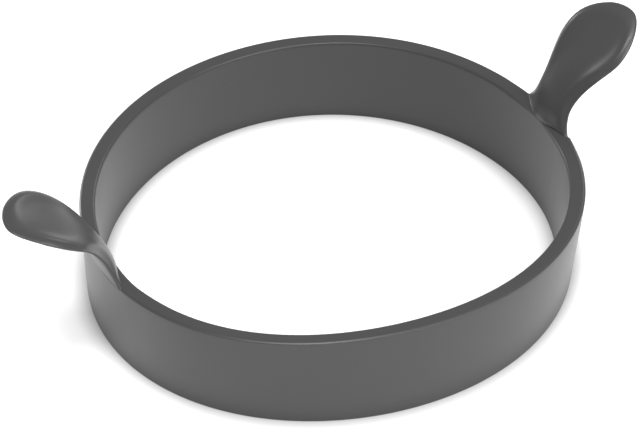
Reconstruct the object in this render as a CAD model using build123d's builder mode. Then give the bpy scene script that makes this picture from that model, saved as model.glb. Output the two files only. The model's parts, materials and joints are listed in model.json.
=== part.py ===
from build123d import *
from math import cos, degrees, radians, sin, sqrt
import os

# Egg ring in one flexible moulding: a plain round band that stands on the pan,
# and two spoon-shaped grips that rise from its rim and curve outwards.
# All lengths are millimetres. The ring's axis is Z, the pan is Z = 0, and the
# grips stand near the X axis.

# Band
band_outer_radius = 50.0
band_height = 20.0
wall = 3.2
rim_inner_round = 0.5
rim_outer_round = 0.3
foot_round = 0.25

# Grips: places are measured along the middle line of the blade, from the rim
grip_forward_angle = 8.1
grip_root_lean = 6.0
grip_bend_radius = 20.0
grip_neck_distance = 7.6
grip_widest_distance = 19.1

# Half widths of a grip, its thickness in the middle and at its two side edges
root_half_width = 9.7
root_edge_thickness = 0.8
root_contact_half_width = 2.5
neck_half_width = 6.3
neck_thickness = 3.2
neck_edge_thickness = 1.6
paddle_half_width = 9.7
paddle_thickness = 2.3
paddle_edge_thickness = 1.5

# How far the side edges stand in towards the ring, from the middle of the blade's back
neck_cup = 1.8
paddle_cup = 2.8

# Places of the drawn sections, as shares of the stretch that they divide
flare_shares = (0.0, 0.15, 0.4, 0.7)
spread_shares = (0.0, 0.25, 0.5, 0.75, 0.92)
# How fast the foot of a grip draws in to its neck
flare_power = 2.4

band_inner_radius = band_outer_radius - wall
wall_middle_radius = band_outer_radius - wall / 2
# The back of a grip's foot lies on the outer wall
root_back_half_width = root_half_width - root_edge_thickness / 2
root_cup = band_outer_radius - sqrt(band_outer_radius**2 - root_back_half_width**2)


def blend(start, end, share):
    """A value that leaves start and reaches end without a kink at either."""
    return start + (end - start) * (3 * share**2 - 2 * share**3)


def flare(start, end, share):
    """A value that leaves start fast and reaches end without a kink."""
    return end + (start - end) * (1 - share) ** flare_power


def blade_plane(azimuth, distance):
    """Plane across the blade: X along its width, Y out through its back, Z towards the tip."""
    root_lean = radians(grip_root_lean)
    lean = root_lean + distance / grip_bend_radius
    outward = Vector(cos(radians(azimuth)), sin(radians(azimuth)), 0)
    upward = Vector(0, 0, 1)
    reach = wall_middle_radius + grip_bend_radius * (cos(root_lean) - cos(lean))
    rise = band_height + grip_bend_radius * (sin(lean) - sin(root_lean))
    # The first section lies flat on the rim, so that the grip stands flush on it.
    tilt = lean if distance else 0
    back = outward * cos(tilt) - upward * sin(tilt)
    ahead = outward * sin(tilt) + upward * cos(tilt)
    return Plane(origin=outward * reach + upward * rise, x_dir=back.cross(ahead), z_dir=ahead)


def stations():
    """Distance, half width, thickness, edge thickness and cup of each section, from rim to paddle."""
    rows = []
    for share in flare_shares:
        rows.append(
            (
                grip_neck_distance * share,
                flare(root_half_width, neck_half_width, share),
                blend(wall, neck_thickness, share),
                blend(root_edge_thickness, neck_edge_thickness, share),
                flare(root_cup, neck_cup, share),
            )
        )
    for share in spread_shares:
        rows.append(
            (
                grip_neck_distance + (grip_widest_distance - grip_neck_distance) * share,
                blend(neck_half_width, paddle_half_width, share),
                blend(neck_thickness, paddle_thickness, share),
                blend(neck_edge_thickness, paddle_edge_thickness, share),
                blend(neck_cup, paddle_cup, share),
            )
        )
    rows.append((grip_widest_distance, paddle_half_width, paddle_thickness, paddle_edge_thickness, paddle_cup))
    return rows


def section_face(half_width, thickness, edge_thickness, cup):
    """Draws one cross-section of the blade: back arc, round edge, face arc, round edge."""
    side = half_width - edge_thickness / 2
    back_side = thickness / 2 - cup
    face_side = back_side - edge_thickness
    edge_middle = (back_side + face_side) / 2
    with BuildLine() as outline:
        ThreePointArc((-side, back_side), (0, thickness / 2), (side, back_side))
        ThreePointArc((side, back_side), (half_width, edge_middle), (side, face_side))
        ThreePointArc((side, face_side), (0, -thickness / 2), (-side, face_side))
        ThreePointArc((-side, face_side), (-half_width, edge_middle), (-side, back_side))
    make_face(outline.edges())


def radial_plane(azimuth):
    """Upright plane through the ring's axis: X away from the axis, Y upwards."""
    turn = radians(azimuth)
    return Plane(origin=(0, 0, 0), x_dir=(cos(turn), sin(turn), 0), z_dir=(sin(turn), -cos(turn), 0))


grip_azimuths = {"right_grip": -grip_forward_angle, "left_grip": 180 + grip_forward_angle}
os.makedirs("parts", exist_ok=True)

# Band: a strip with softened edges, turned about the ring's axis
with BuildPart() as ring_band:
    with BuildSketch(Plane.XZ) as strip:
        with Locations((band_inner_radius, 0)):
            Rectangle(wall, band_height, align=(Align.MIN, Align.MIN))
        corners = strip.vertices()
        top = corners.group_by(Axis.Y)[-1].sort_by(Axis.X)
        foot = corners.group_by(Axis.Y)[0]
        fillet(top[0], radius=rim_inner_round)
        fillet(top[-1], radius=rim_outer_round)
        fillet(foot, radius=foot_round)
    revolve(axis=Axis.Z)
    # Under the grips the rim's edges stay square, so the wall runs on into each
    # grip: on the outside over its whole foot, on the inside where it touches.
    square_edges = (
        (band_outer_radius - rim_outer_round, rim_outer_round, root_half_width / band_outer_radius),
        (band_inner_radius, rim_inner_round, root_contact_half_width / band_inner_radius),
    )
    for azimuth in grip_azimuths.values():
        for inner_side, edge_size, half_turn in square_edges:
            with BuildSketch(radial_plane(azimuth - degrees(half_turn))):
                with Locations((inner_side, band_height)):
                    Rectangle(edge_size, edge_size, align=(Align.MIN, Align.MAX))
            revolve(axis=Axis.Z, revolution_arc=2 * degrees(half_turn))
ring_band.part.label = "ring_band"
export_step(ring_band.part, "parts/ring_band.step")

# Grips: sections lofted up the bend, then the widest one turned half round
# about the blade's own normal to close the tip.
for name, azimuth in grip_azimuths.items():
    with BuildPart() as grip:
        for distance, half_width, thickness, edge_thickness, cup in stations():
            with BuildSketch(blade_plane(azimuth, distance)):
                section_face(half_width, thickness, edge_thickness, cup)
        loft()
        widest = blade_plane(azimuth, grip_widest_distance)
        with BuildSketch(widest):
            section_face(paddle_half_width, paddle_thickness, paddle_edge_thickness, paddle_cup)
            split(bisect_by=Plane.YZ, keep=Keep.BOTTOM)
        revolve(axis=Axis(widest.origin, widest.y_dir), revolution_arc=180)
    grip.part.label = name
    export_step(grip.part, f"parts/{name}.step")
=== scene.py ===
import json
from collections import namedtuple
from math import acos, asin, atan2, cos, hypot, pi, radians, sin

import bmesh
import bpy
from mathutils import Matrix, Vector


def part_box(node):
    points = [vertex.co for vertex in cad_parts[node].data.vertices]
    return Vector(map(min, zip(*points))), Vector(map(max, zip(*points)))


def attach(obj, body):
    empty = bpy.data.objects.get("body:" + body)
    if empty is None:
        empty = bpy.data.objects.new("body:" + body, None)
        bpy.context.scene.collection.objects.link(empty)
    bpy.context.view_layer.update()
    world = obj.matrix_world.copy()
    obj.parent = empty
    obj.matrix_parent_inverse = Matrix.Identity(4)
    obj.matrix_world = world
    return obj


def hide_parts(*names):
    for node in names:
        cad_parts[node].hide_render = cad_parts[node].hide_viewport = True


# Egg ring: one soft grey moulding, a plain band with two dished grips that rise
# from its rim. The band and the grips are drawn as one control cage, smoothed
# together so that the grips grow out of the rim, and then parted into three
# pieces that stand for the three solids. All lengths are metres.

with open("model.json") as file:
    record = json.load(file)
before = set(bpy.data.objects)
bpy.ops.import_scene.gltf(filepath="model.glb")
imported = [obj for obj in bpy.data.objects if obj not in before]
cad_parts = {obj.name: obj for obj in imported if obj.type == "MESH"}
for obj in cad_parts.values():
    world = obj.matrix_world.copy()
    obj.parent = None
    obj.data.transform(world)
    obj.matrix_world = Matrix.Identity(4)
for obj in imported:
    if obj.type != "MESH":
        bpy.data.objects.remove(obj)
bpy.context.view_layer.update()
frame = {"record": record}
scene = bpy.context.scene
MM = 0.001

# Sizes of the band, from the frame
band_low, band_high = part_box("ring_band")
band_radius = band_high.x
band_height = band_high.z
bore = next(mount for mount in frame["record"]["mounts"] if mount["name"] == "egg_bore")
bore_radius = bore["dims"]["r_mm"] * MM
wall = band_radius - bore_radius
wall_middle_radius = band_radius - wall / 2

# The rim's outer edge stands higher than its inner one
rim_rise = 0.6 * MM
# Away from the grips the rim's rows stand this much higher, because smoothing draws the rim in
rim_fullness = 0.25 * MM

# Edges of the band: how far from each edge its support row lies
rim_inner_edge = 0.85 * MM
root_outer_edge = 0.5 * MM
foot_edge = 0.4 * MM
# Beside the grips the rim's outer edge is sharp. For each of the five rows over it,
# how many support distances the row lies in from the edge, and how many below it
sharp_in_steps = (1.5, 1, 0, 0, 0)
sharp_down_steps = (0, 0, 0, 1, 2)
# Elsewhere that edge has a small bevel, which ends a little before each grip
bevel_width = 0.5 * MM
bevel_height = 0.37 * MM
bevel_support = 0.1 * MM
bevel_row_shares = (0.15, 0.5, 0.85)
bevel_end_angle = radians(7.0)
# Rows between the edges of the wall
wall_row_shares = (0.25, 0.5, 0.75)

# Columns of the band: their usual spacing, and how far the close ones stand from a grip
column_spacing = radians(3.0)
near_foot_offsets = [radians(a) for a in (0.25, 0.9, 2.4)]

# Grips, measured along the middle line of the blade, as the solids are
grip_neck_distance = 6.4 * MM
grip_widest_distance = 19.7 * MM
tip_length = 9.3 * MM
root_half_width = 8.6 * MM
root_contact_half_width = 1.8 * MM
root_ledge = 0.08 * MM
root_cup = 0.4 * MM
root_edge_thickness = 0.5 * MM
root_crease = 0.25 * MM
neck_half_width = 5.9 * MM
neck_thickness = 3.3 * MM
neck_edge_thickness = 1.55 * MM
paddle_half_width = 8.3 * MM
paddle_thickness = 2.3 * MM
paddle_edge_thickness = 1.4 * MM
neck_cup = 0.7 * MM
paddle_cup = 1.6 * MM
tip_cup = 1.5 * MM
flare_power = 2.35
foot_blend_distance = 2.9 * MM
# Roundness of the tip's outline: 2 is an ellipse, and less is more pointed
tip_power = 1.65
# How much of the edge's thickness its two rows stand in from the outermost line
edge_round_share = 0.35
dish_power = 2.4
# A rounded lip stands up round the dish: how high, where its inner side starts and ends
# across the grip, and how much of the edge's thickness its outer side falls
lip_height = 0.4 * MM
lip_foot_share = 0.5
lip_top_share = 0.86
lip_fall_share = 0.3
lip_start_distance = 3.0 * MM
lip_full_distance = 11.0 * MM

# Where the cage's lines lie across a grip and along it
half_shares = (0.2, 0.4, 0.57, 0.7, 0.78, 0.86, 0.93, 1.0)
across_shares = tuple(-share for share in reversed(half_shares)) + (0.0,) + half_shares
low_shares = (0.03, 0.1, 0.25, 0.46, 0.72, 1.0)
high_shares = (0.17, 0.33, 0.5, 0.67, 0.83, 1.0)
tip_angles = [radians(a) for a in (12.0, 24.0, 35.0, 45.0)]

smooth_levels = 2

# The soft moulding lies a little out of round. Each wave has its number of crests
# in a turn, its height as a share of the radius, and the azimuth of a crest.
top_waves = (
    (1, 0.0122, radians(-73.1)),
    (2, 0.0168, radians(0.2)),
    (3, 0.0162, radians(-44.5)),
    (4, 0.0056, radians(-52.3)),
)
foot_waves = (
    (1, 0.0088, radians(138.2)),
    (2, 0.0130, radians(-5.9)),
    (3, 0.0127, radians(-46.0)),
)

# Each grip: where it stands, how far it leans at its root, how it bends outwards,
# and how far it turns sideways and twists up to its widest place
Flex = namedtuple("Flex", "azimuth root_lean bend_radius sway twist")
grips = {
    "right_grip": Flex(radians(-6.3), radians(14.2), 33.9 * MM, radians(-7.1), radians(12.5)),
    "left_grip": Flex(radians(184.6), radians(9.0), 23.9 * MM, radians(14.7), radians(-7.5)),
}

# Tags of the three pieces in the cage
BAND, RIGHT, LEFT = range(3)
GRIP_TAGS = {"right_grip": RIGHT, "left_grip": LEFT}


def blend(start, end, share):
    """A value that leaves start and reaches end without a kink at either."""
    share = min(max(share, 0.0), 1.0)
    return start + (end - start) * (3 * share**2 - 2 * share**3)


def flare(start, end, share):
    """A value that leaves start fast and reaches end without a kink."""
    return end + (start - end) * (1 - min(share, 1.0)) ** flare_power


def waved(waves, azimuth):
    shares = sum(share * cos(count * (azimuth - crest)) for count, share, crest in waves)
    return band_radius * shares


def plan_shift(azimuth, height):
    """How far the soft ring stands out from the true circle there."""
    share = min(height / band_height, 1.0)
    return waved(foot_waves, azimuth) * (1 - share) + waved(top_waves, azimuth) * share


def polar(radius, azimuth, height):
    radius += plan_shift(azimuth, height)
    return Vector((radius * cos(azimuth), radius * sin(azimuth), height))


def rim_height(radius):
    """Height of the rim beside the grips."""
    return band_height + rim_rise * (radius - bore_radius) / wall


# Band cage

def clear_share(azimuth):
    """0 under and beside the grips, 1 a little way off."""
    half_foot = asin(root_half_width / band_radius)
    gap = min(acos(cos(azimuth - flex.azimuth)) for flex in grips.values()) - half_foot
    return blend(0.0, 1.0, gap / bevel_end_angle)


def rim_edge(azimuth):
    """Radius and height of the five rows over the rim's outer edge there."""
    inner_radius = band_radius - bevel_width
    start = Vector((inner_radius, rim_height(inner_radius) + rim_fullness))
    end = Vector((band_radius, rim_height(band_radius) + rim_fullness - bevel_height))
    inside = start.x - bevel_support
    bevelled = [Vector((inside, rim_height(inside) + rim_fullness))]
    bevelled += [start.lerp(end, share) for share in bevel_row_shares]
    bevelled += [end - Vector((0, bevel_support))]
    sharp = [Vector((band_radius - root_outer_edge * step, 0)) for step in sharp_in_steps]
    for row, step in zip(sharp, sharp_down_steps):
        row.y = rim_height(row.x) - root_outer_edge * step
    return [plain.lerp(cut, clear_share(azimuth)) for plain, cut in zip(sharp, bevelled)]


# Names of the rows that the grips join
RIM_INNER = "rim inner"
RIM_MIDDLE = "rim middle"
RIM_OUTER = "rim outer"
RIM_CORNER = "rim corner"
WALL_TOP = "wall top"
EDGE_ROWS = ("", RIM_OUTER, RIM_CORNER, WALL_TOP, "")


def band_rows(azimuth):
    """Rows round the band's section: a name where the grips join, then radius and height."""
    edge = rim_edge(azimuth)
    rim_inner = bore_radius + rim_inner_edge
    rim_middle = (rim_inner + edge[0].x) / 2
    lift = rim_fullness * clear_share(azimuth)
    rows = [("", bore_radius, foot_edge)]
    rows += [("", bore_radius, band_height * share) for share in wall_row_shares]
    rows += [
        ("", bore_radius, band_height - rim_inner_edge),
        ("", bore_radius, band_height + lift),
        (RIM_INNER, rim_inner, rim_height(rim_inner) + lift),
        (RIM_MIDDLE, rim_middle, rim_height(rim_middle) + lift),
    ]
    rows += [(name, row.x, row.y) for name, row in zip(EDGE_ROWS, edge)]
    rows += [("", band_radius, band_height * share) for share in reversed(wall_row_shares)]
    rows += [
        ("", band_radius, foot_edge),
        ("", band_radius, 0.0),
        ("", band_radius - foot_edge, 0.0),
        ("", bore_radius + foot_edge, 0.0),
        ("", bore_radius, 0.0),
    ]
    return rows


row_names = [name for name, _, _ in band_rows(0.0)]
inner_row = row_names.index(RIM_INNER)
middle_row = row_names.index(RIM_MIDDLE)
outer_row = row_names.index(RIM_OUTER)
corner_row = row_names.index(RIM_CORNER)
top_row = row_names.index(WALL_TOP)


def foot_columns(middle):
    """Azimuths of the columns under a grip, in the order of across_shares."""
    return [middle + asin(share * root_half_width / band_radius) for share in across_shares]


def columns():
    """(azimuth, grip name or None, place across the grip) for every column round the band."""
    result = []
    order = sorted(grips, key=lambda name: grips[name].azimuth)
    for turn, name in enumerate(order):
        foot = foot_columns(grips[name].azimuth)
        result += [(azimuth, name, index) for index, azimuth in enumerate(foot)]
        following = order[(turn + 1) % len(order)]
        start = foot[-1]
        end = foot_columns(grips[following].azimuth)[0]
        if end < start:
            end += 2 * pi
        result += [(start + offset, None, 0) for offset in near_foot_offsets]
        first = start + near_foot_offsets[-1]
        last = end - near_foot_offsets[-1]
        count = round((last - first) / column_spacing)
        result += [(first + (last - first) * step / count, None, 0) for step in range(1, count)]
        result += [(end - offset, None, 0) for offset in reversed(near_foot_offsets)]
    return result


def seat_radius(across):
    """Radius at which a grip's face meets the rim.

    That is by the bore in the middle of the grip, and by the outer edge at its sides.
    """
    reach = abs(across) * root_half_width
    past_contact = max(reach - root_contact_half_width, 0.0)
    share = past_contact / (root_half_width - root_contact_half_width)
    bore_side = bore_radius + root_ledge
    edge_side = band_radius - root_outer_edge
    return bore_side + (edge_side - bore_side) * share


def drawn_in(radius, row, outer_radius, across):
    """Radius of a row of the rim under a grip, where the rim gives way to the grip's face."""
    seat = seat_radius(across)
    from_bore = (radius - bore_radius) * (seat - bore_radius) / (outer_radius - bore_radius)
    radius = bore_radius + from_bore
    if middle_row <= row < outer_row:
        radius = max(radius, seat - root_crease * (outer_row - row))
    return radius


def band_grid(cage, ring):
    """The band's vertices, column by column."""
    grid = []
    for azimuth, grip, index in ring:
        rows = band_rows(azimuth)
        outer_radius = rows[outer_row][1]
        column = []
        for row, (_, radius, height) in enumerate(rows):
            if grip and inner_row <= row < corner_row:
                radius = drawn_in(radius, row, outer_radius, across_shares[index])
                height = rim_height(radius)
            column.append(cage.verts.new(polar(radius, azimuth, height)))
        grid.append(column)
    return grid


def quad(cage, corners, tag):
    face = cage.faces.new(corners)
    face.material_index = tag
    face.smooth = True


def add_band(cage, grid, ring):
    """The band's faces. The rim stays open under each grip."""
    for place, (_, grip, _) in enumerate(ring):
        beside = (place + 1) % len(ring)
        here, there = grid[place], grid[beside]
        under_grip = grip and ring[beside][1] == grip
        for row in range(len(row_names)):
            if under_grip and row in (outer_row, corner_row):
                continue
            below = (row + 1) % len(row_names)
            quad(cage, (here[row], there[row], there[below], here[below]), BAND)


# Grip cage

def blade_frame(flex, distance):
    """Origin, width direction and back direction of the blade at that distance."""
    lean = flex.root_lean + distance / flex.bend_radius
    share = distance / grip_widest_distance
    outward = Vector((cos(flex.azimuth), sin(flex.azimuth), 0))
    upward = Vector((0, 0, 1))
    width = upward.cross(outward)
    ahead = outward * sin(lean) + upward * cos(lean)
    back = outward * cos(lean) - upward * sin(lean)
    reach = wall_middle_radius + flex.bend_radius * (cos(flex.root_lean) - cos(lean))
    rise = rim_height(wall_middle_radius) + flex.bend_radius * (sin(lean) - sin(flex.root_lean))
    origin = outward * (reach + plan_shift(flex.azimuth, band_height)) + upward * rise
    origin += width * flex.sway * share * distance / 2
    twist = Matrix.Rotation(flex.twist * share, 3, ahead)
    sway = Matrix.Rotation(-flex.sway * share, 3, back)
    return origin, twist @ sway @ width, twist @ back


def placed(flex, points):
    """Takes places on a straight blade, given as (across, out, along), to the flexed one."""
    result = []
    for across, out, along in points:
        origin, width, back = blade_frame(flex, along)
        result.append(origin + width * across + back * out)
    return result


def blade_sizes(distance):
    """Half width, thickness, edge thickness and cup of the blade at that distance."""
    if distance < grip_neck_distance:
        share = distance / grip_neck_distance
        return (
            flare(root_half_width, neck_half_width, share),
            blend(wall, neck_thickness, share),
            blend(root_edge_thickness, neck_edge_thickness, share),
            flare(root_cup, neck_cup, share),
        )
    share = (distance - grip_neck_distance) / (grip_widest_distance - grip_neck_distance)
    return (
        blend(neck_half_width, paddle_half_width, share),
        blend(neck_thickness, paddle_thickness, share),
        blend(neck_edge_thickness, paddle_edge_thickness, share),
        blend(neck_cup, paddle_cup, share),
    )


def face_depth(across, distance, thickness, edge_thickness, cup):
    """How far the blade's face lies from the middle line, towards the ring."""
    side = thickness / 2 - cup - edge_thickness
    along_lip = (distance - lip_start_distance) / (lip_full_distance - lip_start_distance)
    up_lip = (abs(across) - lip_foot_share) / (lip_top_share - lip_foot_share)
    past_lip = max(abs(across) - lip_top_share, 0.0) / (1 - lip_top_share)
    lip = lip_height * blend(0.0, 1.0, along_lip)
    dished = -thickness / 2 + (side + lip + thickness / 2) * abs(across) ** dish_power
    dished -= lip * blend(0.0, 1.0, up_lip)
    dished += edge_thickness * lip_fall_share * past_lip**2
    foot_angle = asin(across * root_half_width / band_radius)
    seated = seat_radius(across) * cos(foot_angle) - wall_middle_radius
    return blend(seated, dished, distance / foot_blend_distance)


def tip_outline(x_share, ahead_share):
    """Moves a place in a round tip to its place in the drawn tip.

    Also says how far the place is round to the end.
    """
    angle = atan2(ahead_share, abs(x_share)) if ahead_share > 0 else 0.0
    grow = (cos(angle) ** tip_power + sin(angle) ** tip_power) ** (-1 / tip_power)
    return x_share * grow, ahead_share * grow, sin(angle) ** 2


def outline_growth(half_width, edge_thickness):
    """How much the outermost line of a blade stands out, because smoothing draws it in."""
    return 1 + edge_thickness * edge_round_share / 2 / half_width


def station(flex, distance, side_angle=pi / 2):
    """Points round the blade: its face, one edge, its back, the other edge.

    side_angle is a right angle up to the widest place, and shrinks round the tip.
    """
    half_width, thickness, edge_thickness, cup = blade_sizes(distance)
    shrink = (half_width - edge_thickness * edge_round_share) / half_width
    turn = pi / 2 - side_angle
    face, back = [], []
    for across in across_shares:
        # Lines across the tip bow outwards, up to the round end itself.
        if turn:
            x_share = sin(side_angle) * sin(across * turn) / sin(turn)
            ahead_share = cos(side_angle) + cos(across * turn) - cos(turn)
        else:
            x_share = across
            ahead_share = 0.0
        out_share = min(hypot(x_share, ahead_share), 1.0)
        x_share, ahead_share, end_share = tip_outline(x_share, ahead_share)
        cup_here = cup + (tip_cup - paddle_cup) * end_share
        x = half_width * x_share * shrink
        along = distance + tip_length * ahead_share * shrink
        depth = face_depth(out_share, distance, thickness, edge_thickness, cup_here)
        face.append((x, depth, along))
        back.append((x, thickness / 2 - cup_here * out_share**2, along))
    edges = []
    grow = outline_growth(half_width, edge_thickness)
    for sign, face_side, back_side in ((-1, face[0], back[0]), (1, face[-1], back[-1])):
        x_share, ahead_share, _ = tip_outline(sign * sin(side_angle), cos(side_angle))
        x = half_width * x_share * grow
        along = distance + tip_length * ahead_share * grow
        edges.append((x, (face_side[1] + back_side[1]) / 2, along))
    return placed(flex, face + [edges[1]] + back[::-1] + [edges[0]])


def tip_edge(flex):
    """The outermost line round the end of the tip, from one side to the other."""
    half_width, thickness, edge_thickness, cup = blade_sizes(grip_widest_distance)
    grow = outline_growth(half_width, edge_thickness)
    points = []
    for across in across_shares:
        angle = across * tip_angles[-1]
        x_share, ahead_share, end_share = tip_outline(sin(angle), cos(angle))
        cup_here = cup + (tip_cup - paddle_cup) * end_share
        x = half_width * x_share * grow
        along = grip_widest_distance + tip_length * ahead_share * grow
        points.append((x, thickness / 2 - cup_here - edge_thickness / 2, along))
    return placed(flex, points)


def grip_stations(flex):
    """The rings of points of one grip, from just above the rim to the end of the tip."""
    reach = grip_widest_distance - grip_neck_distance
    distances = [grip_neck_distance * share for share in low_shares]
    distances += [grip_neck_distance + reach * share for share in high_shares]
    stations = [station(flex, distance) for distance in distances]
    return stations + [station(flex, grip_widest_distance, pi / 2 - turn) for turn in tip_angles]


def close_tip(cage, loop, end_points, tag):
    """Closes a grip with two rows of quads, from the face to the edge and on to the back."""
    last = len(across_shares) - 1
    face_row = loop[: last + 1]
    back_row = loop[last + 2: 2 * last + 3][::-1]
    edge_row = [loop[-1]]
    edge_row += [cage.verts.new(point) for point in end_points[1:-1]]
    edge_row += [loop[last + 1]]
    for place in range(last):
        for upper, lower in ((face_row, edge_row), (edge_row, back_row)):
            corners = (upper[place], lower[place], lower[place + 1], upper[place + 1])
            quad(cage, corners, tag)


def add_grip(cage, grid, ring, name):
    """One grip, which grows from the open part of the rim."""
    flex = grips[name]
    tag = GRIP_TAGS[name]
    foot = [column for column, (_, grip, _) in zip(grid, ring) if grip == name]
    loop = [column[outer_row] for column in foot] + [foot[-1][corner_row]]
    loop += [column[top_row] for column in reversed(foot)] + [foot[0][corner_row]]
    for points in grip_stations(flex):
        following = [cage.verts.new(point) for point in points]
        for place in range(len(loop)):
            beside = (place + 1) % len(loop)
            quad(cage, (loop[place], following[place], following[beside], loop[beside]), tag)
        loop = following
    close_tip(cage, loop, tip_edge(flex), tag)


def make_cage():
    """The whole moulding as one closed cage. Each face's material index is its piece's tag."""
    cage = bmesh.new()
    ring = columns()
    grid = band_grid(cage, ring)
    add_band(cage, grid, ring)
    for name in grips:
        add_grip(cage, grid, ring, name)
    bmesh.ops.recalc_face_normals(cage, faces=cage.faces)
    return cage


def smoothed(cage):
    """The cage as a smooth mesh."""
    mesh = bpy.data.meshes.new("cage")
    cage.to_mesh(mesh)
    cage.free()
    holder = bpy.data.objects.new("cage", mesh)
    scene.collection.objects.link(holder)
    subdivision = holder.modifiers.new("smooth", "SUBSURF")
    subdivision.levels = smooth_levels
    subdivision.render_levels = smooth_levels
    # An empty slot for each tag keeps the tags through the smoothing.
    for tag in (BAND, RIGHT, LEFT):
        mesh.materials.append(None)
    evaluated = holder.evaluated_get(bpy.context.evaluated_depsgraph_get())
    result = bpy.data.meshes.new_from_object(evaluated)
    bpy.data.objects.remove(holder)
    return result


def parted(whole, tag, name):
    """One piece of the smooth mesh, closed where it was parted, with the whole mesh's normals."""
    normals = [tuple(normal.vector) for normal in whole.vertex_normals]
    piece = bmesh.new()
    piece.from_mesh(whole)
    origin = piece.verts.layers.int.new("origin")
    for vertex in piece.verts:
        vertex[origin] = vertex.index
    others = [face for face in piece.faces if face.material_index != tag]
    bmesh.ops.delete(piece, geom=others, context="FACES")
    open_edges = [edge for edge in piece.edges if edge.is_boundary]
    seams = bmesh.ops.holes_fill(piece, edges=open_edges, sides=0)["faces"]
    bmesh.ops.triangulate(piece, faces=seams)
    for face in piece.faces:
        face.material_index = 0
    piece.faces.index_update()
    piece.verts.index_update()
    origins = [vertex[origin] for vertex in piece.verts]
    seam_faces = {face.index for face in piece.faces if not face.smooth}
    mesh = bpy.data.meshes.new(name)
    piece.to_mesh(mesh)
    piece.free()
    corner_normals = []
    for face in mesh.polygons:
        for vertex in face.vertices:
            on_seam = face.index in seam_faces
            corner_normals.append(face.normal if on_seam else normals[origins[vertex]])
    mesh.normals_split_custom_set(corner_normals)
    return mesh


# Materials

# The colour sockets of a Mix node share their names with its others, so they go by number.
MIX_FROM, MIX_TO, MIX_RESULT = 6, 7, 2
white = (1.0, 1.0, 1.0, 1)


def add_node(tree, kind, inputs=None, **settings):
    """Adds a node with these settings, and links sockets or writes constants to its inputs."""
    node = tree.nodes.new(kind)
    for name, value in settings.items():
        setattr(node, name, value)
    for name, value in (inputs or {}).items():
        if isinstance(value, bpy.types.NodeSocket):
            tree.links.new(value, node.inputs[name])
        else:
            node.inputs[name].default_value = value
    return node


# Silicone: satin, dark neutral grey with faint clouds, and a fine moulded grain
silicone_ior = 1.45
silicone_dark = (0.060, 0.060, 0.061, 1)
silicone_pale = (0.068, 0.068, 0.069, 1)
silicone_low_roughness = 0.30
silicone_high_roughness = 0.36
cloud_scale = 60.0
cloud_detail = 3.0
grain_scale = 2500.0
grain_detail = 2.0
grain_strength = 0.06
grain_depth = 0.05 * MM


def silicone():
    material = bpy.data.materials.new("silicone")
    material.use_nodes = True
    tree = material.node_tree
    place = add_node(tree, "ShaderNodeTexCoord").outputs["Object"]
    cloud_settings = {"Vector": place, "Scale": cloud_scale, "Detail": cloud_detail}
    clouds = add_node(tree, "ShaderNodeTexNoise", cloud_settings).outputs["Fac"]
    colours = {"Factor": clouds, MIX_FROM: silicone_dark, MIX_TO: silicone_pale}
    colour = add_node(tree, "ShaderNodeMix", colours, data_type="RGBA")
    limits = {
        "Value": clouds,
        "To Min": silicone_low_roughness,
        "To Max": silicone_high_roughness,
    }
    roughness = add_node(tree, "ShaderNodeMapRange", limits)
    grain_settings = {"Vector": place, "Scale": grain_scale, "Detail": grain_detail}
    grain = add_node(tree, "ShaderNodeTexNoise", grain_settings).outputs["Fac"]
    relief = {"Height": grain, "Strength": grain_strength, "Distance": grain_depth}
    bump = add_node(tree, "ShaderNodeBump", relief)
    shader = tree.nodes["Principled BSDF"]
    shader.inputs["IOR"].default_value = silicone_ior
    tree.links.new(colour.outputs[MIX_RESULT], shader.inputs["Base Color"])
    tree.links.new(roughness.outputs["Result"], shader.inputs["Roughness"])
    tree.links.new(bump.outputs["Normal"], shader.inputs["Normal"])
    return material


# The three pieces

whole_mesh = smoothed(make_cage())
silicone_material = silicone()
for piece_name, node, tag in (
    ("band_skin", "ring_band", BAND),
    ("right_grip_skin", "right_grip", RIGHT),
    ("left_grip_skin", "left_grip", LEFT),
):
    skin = bpy.data.objects.new(piece_name, parted(whole_mesh, tag, piece_name))
    skin.data.materials.clear()
    skin.data.materials.append(silicone_material)
    scene.collection.objects.link(skin)
    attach(skin, "root")
    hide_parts(node)
bpy.data.meshes.remove(whole_mesh)

# Floor: plain white where it is seen, with a soft shadow close to what stands on it,
# and a little darker in the light that it throws back
floor_size = 6.0
floor_segments = 8
floor_bounce = (0.7, 0.7, 0.7, 1)
floor_glow = 0.37
contact_shadow_reach = 4.0 * MM
# Far from the ring, where the lamps don't reach, the floor glows more to look as white
far_glow = 0.5
far_start = 0.3
far_end = 0.9


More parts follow.
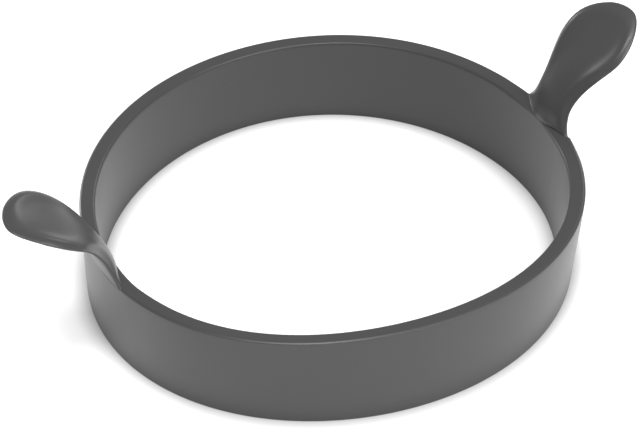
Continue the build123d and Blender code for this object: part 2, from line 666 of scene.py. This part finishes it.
def floor_material():
    material = bpy.data.materials.new("floor")
    material.use_nodes = True
    tree = material.node_tree
    tree.nodes.remove(tree.nodes["Principled BSDF"])
    path = add_node(tree, "ShaderNodeLightPath")
    camera_ray = path.outputs["Is Camera Ray"]
    seen = camera_ray
    for ray in ("Is Glossy Ray", "Is Transmission Ray"):
        either = {0: seen, 1: path.outputs[ray]}
        seen = add_node(tree, "ShaderNodeMath", either, operation="MAXIMUM").outputs["Value"]
    shadow_settings = {"Color": white, "Distance": contact_shadow_reach}
    contact = add_node(tree, "ShaderNodeAmbientOcclusion", shadow_settings).outputs["Color"]
    colours = {"Factor": seen, MIX_FROM: floor_bounce, MIX_TO: contact}
    colour = add_node(tree, "ShaderNodeMix", colours, data_type="RGBA")
    matt = add_node(tree, "ShaderNodeBsdfDiffuse", {"Color": colour.outputs[MIX_RESULT]})
    place = add_node(tree, "ShaderNodeTexCoord").outputs["Object"]
    away = add_node(tree, "ShaderNodeVectorMath", {0: place}, operation="LENGTH")
    limits = {
        "Value": away.outputs["Value"],
        "From Min": far_start,
        "From Max": far_end,
        "To Max": far_glow,
    }
    far = add_node(tree, "ShaderNodeMapRange", limits).outputs["Result"]
    far_seen = add_node(tree, "ShaderNodeMath", {0: far, 1: camera_ray}, operation="MULTIPLY")
    levels = {0: seen, 1: floor_glow, 2: far_seen.outputs["Value"]}
    level = add_node(tree, "ShaderNodeMath", levels, operation="MULTIPLY_ADD")
    light = {"Color": contact, "Strength": level.outputs["Value"]}
    glow = add_node(tree, "ShaderNodeEmission", light)
    halves = {0: matt.outputs["BSDF"], 1: glow.outputs["Emission"]}
    both = add_node(tree, "ShaderNodeAddShader", halves)
    tree.links.new(both.outputs["Shader"], tree.nodes["Material Output"].inputs["Surface"])
    return material


def make_floor():
    sheet = bmesh.new()
    bmesh.ops.create_grid(
        sheet, x_segments=floor_segments, y_segments=floor_segments, size=floor_size / 2
    )
    mesh = bpy.data.meshes.new("floor")
    sheet.to_mesh(mesh)
    sheet.free()
    floor = bpy.data.objects.new("floor", mesh)
    floor.data.materials.append(floor_material())
    scene.collection.objects.link(floor)


make_floor()

# Light: a white tent all round, a large soft lamp in front on the right, one overhead
# that draws the line on the rim's bevel, and two behind for the lights in the grips.
# Each lamp stands at one distance and is an oval: width across, depth up and down.
tent_light = 0.42
lamp_distance = 1.2
Lamp = namedtuple("Lamp", "azimuth elevation width depth power")
lamps = {
    "front_lamp": Lamp(radians(-71.5), radians(35.0), 0.8, 0.8, 7.5),
    "top_lamp": Lamp(radians(-116.5), radians(74.0), 0.5, 0.3, 5.5),
    "left_back_lamp": Lamp(radians(110.5), radians(20.0), 0.35, 0.3, 3.0),
    "right_back_lamp": Lamp(radians(33.5), radians(28.0), 0.3, 0.3, 1.2),
}


def make_tent():
    """The world: plain white to the camera, and dimmer in the light that it gives."""
    tent = bpy.data.worlds.new("tent")
    tent.use_nodes = True
    tree = tent.node_tree
    path = add_node(tree, "ShaderNodeLightPath")
    levels = {0: path.outputs["Is Camera Ray"], 1: 1 - tent_light, 2: tent_light}
    level = add_node(tree, "ShaderNodeMath", levels, operation="MULTIPLY_ADD")
    background = tree.nodes["Background"]
    background.inputs["Color"].default_value = white
    tree.links.new(level.outputs["Value"], background.inputs["Strength"])
    scene.world = tent


def make_lamp(name, lamp):
    """An oval soft lamp that shines at the ring."""
    light = bpy.data.lights.new(name, "AREA")
    light.shape = "ELLIPSE"
    light.size = lamp.width
    light.size_y = lamp.depth
    light.energy = lamp.power
    holder = bpy.data.objects.new(name, light)
    level = cos(lamp.elevation)
    towards = Vector(
        (level * cos(lamp.azimuth), level * sin(lamp.azimuth), sin(lamp.elevation))
    )
    holder.location = towards * lamp_distance
    holder.rotation_euler = towards.to_track_quat("Z", "Y").to_euler()
    scene.collection.objects.link(holder)


make_tent()
for lamp_name, lamp in lamps.items():
    make_lamp(lamp_name, lamp)

# Camera: the photograph's view of the ring. It stands back from the ring's axis and above
# the floor. Its focal length is in pixels of the photograph, and its angles in radians.
image_width = 640
focal_pixels = 1525.7
sensor_width_mm = 36.0
nearest_seen = 0.01
camera_azimuth = radians(-116.5)
camera_back = 241.1 * MM
camera_height = 212.0 * MM
camera_pitch = 0.7040
camera_yaw = -0.0077
camera_roll = 0.0320


def make_camera():
    level = cos(camera_pitch)
    ahead = Vector((sin(camera_yaw) * level, cos(camera_yaw) * level, -sin(camera_pitch)))
    right = Vector((cos(camera_yaw), -sin(camera_yaw), 0))
    down = ahead.cross(right)
    rolled_right = right * cos(camera_roll) + down * sin(camera_roll)
    rolled_down = down * cos(camera_roll) - right * sin(camera_roll)
    turn = Matrix((rolled_right, -rolled_down, -ahead)).transposed()
    camera = bpy.data.cameras.new("camera")
    camera.sensor_width = sensor_width_mm
    camera.sensor_fit = "HORIZONTAL"
    camera.lens = focal_pixels / image_width * sensor_width_mm
    camera.clip_start = nearest_seen
    holder = bpy.data.objects.new("camera", camera)
    stand = Matrix.Rotation(camera_azimuth + pi / 2, 4, "Z")
    place = Matrix.Translation((0, -camera_back, camera_height))
    holder.matrix_world = stand @ place @ turn.to_4x4()
    scene.collection.objects.link(holder)
    scene.camera = holder


make_camera()
scene.view_settings.view_transform = "Standard"
